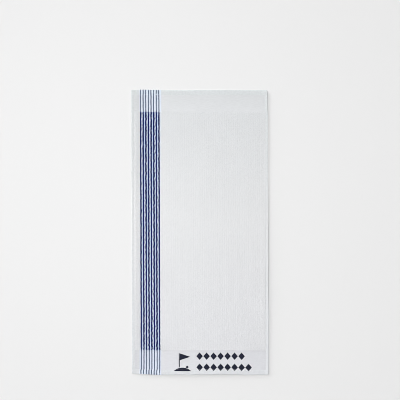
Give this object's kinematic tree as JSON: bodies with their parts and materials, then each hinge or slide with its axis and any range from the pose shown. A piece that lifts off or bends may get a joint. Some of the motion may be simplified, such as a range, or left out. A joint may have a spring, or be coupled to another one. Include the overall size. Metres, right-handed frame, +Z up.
{
  "type": "golf towel",
  "caption": "Long caddy's golf towel laid flat: ribbed terry body with navy warp stripes along one side, flat-woven end bands, turned hems and a woven golf motif.",
  "frame": {"origin": "middle of the towel, on the surface that it lies on", "axes": "+X across the width, away from the warp stripes; +Y along the length, from the motif band to the plain header band; +Z up, out of the towel's face"},
  "size_m": [0.508, 1.067, 0.0036],
  "materials": {
    "white_terry": "cool white cotton terry in fine lengthwise ribs, matt",
    "white_flat_weave": "cool white cotton in a smooth flat weave, matt",
    "white_hem": "the same white cotton turned under and pressed",
    "sewing_thread": "white spun sewing thread, slight sheen",
    "navy_stripe_yarn": "navy yarn-dyed cotton, looped in the terry and flat in the bands",
    "navy_motif_yarn": "near-black navy cotton woven into the band, flush with it"
  },
  "bodies": {
    "root": {"terry_body": "white_terry", "header_band": "white_flat_weave", "footer_band": "white_flat_weave", "warp_stripe_1": "navy_stripe_yarn", "warp_stripe_2": "navy_stripe_yarn", "warp_stripe_3": "navy_stripe_yarn", "warp_stripe_4": "navy_stripe_yarn", "warp_stripe_5": "navy_stripe_yarn", "warp_stripe_6": "navy_stripe_yarn", "warp_stripe_7": "navy_stripe_yarn", "warp_stripe_8": "navy_stripe_yarn", "top_hem": "white_hem", "bottom_hem": "white_hem", "left_hem": "white_hem", "right_hem": "white_hem", "top_hem_stitching": "sewing_thread", "bottom_hem_stitching": "sewing_thread", "left_hem_stitching": "sewing_thread", "right_hem_stitching": "sewing_thread", "motif_flag_pole": "navy_motif_yarn", "motif_pennant": "navy_motif_yarn", "motif_green": "navy_motif_yarn", "motif_ball": "navy_motif_yarn", "motif_diamond_upper_1": "navy_motif_yarn", "motif_diamond_upper_2": "navy_motif_yarn", "motif_diamond_upper_3": "navy_motif_yarn", "motif_diamond_upper_4": "navy_motif_yarn", "motif_diamond_upper_5": "navy_motif_yarn", "motif_diamond_upper_6": "navy_motif_yarn", "motif_diamond_upper_7": "navy_motif_yarn", "motif_diamond_lower_1": "navy_motif_yarn", "motif_diamond_lower_2": "navy_motif_yarn", "motif_diamond_lower_3": "navy_motif_yarn", "motif_diamond_lower_4": "navy_motif_yarn", "motif_diamond_lower_5": "navy_motif_yarn", "motif_diamond_lower_6": "navy_motif_yarn", "motif_diamond_lower_7": "navy_motif_yarn", "motif_diamond_lower_8": "navy_motif_yarn"}
  },
  "joints": []
}
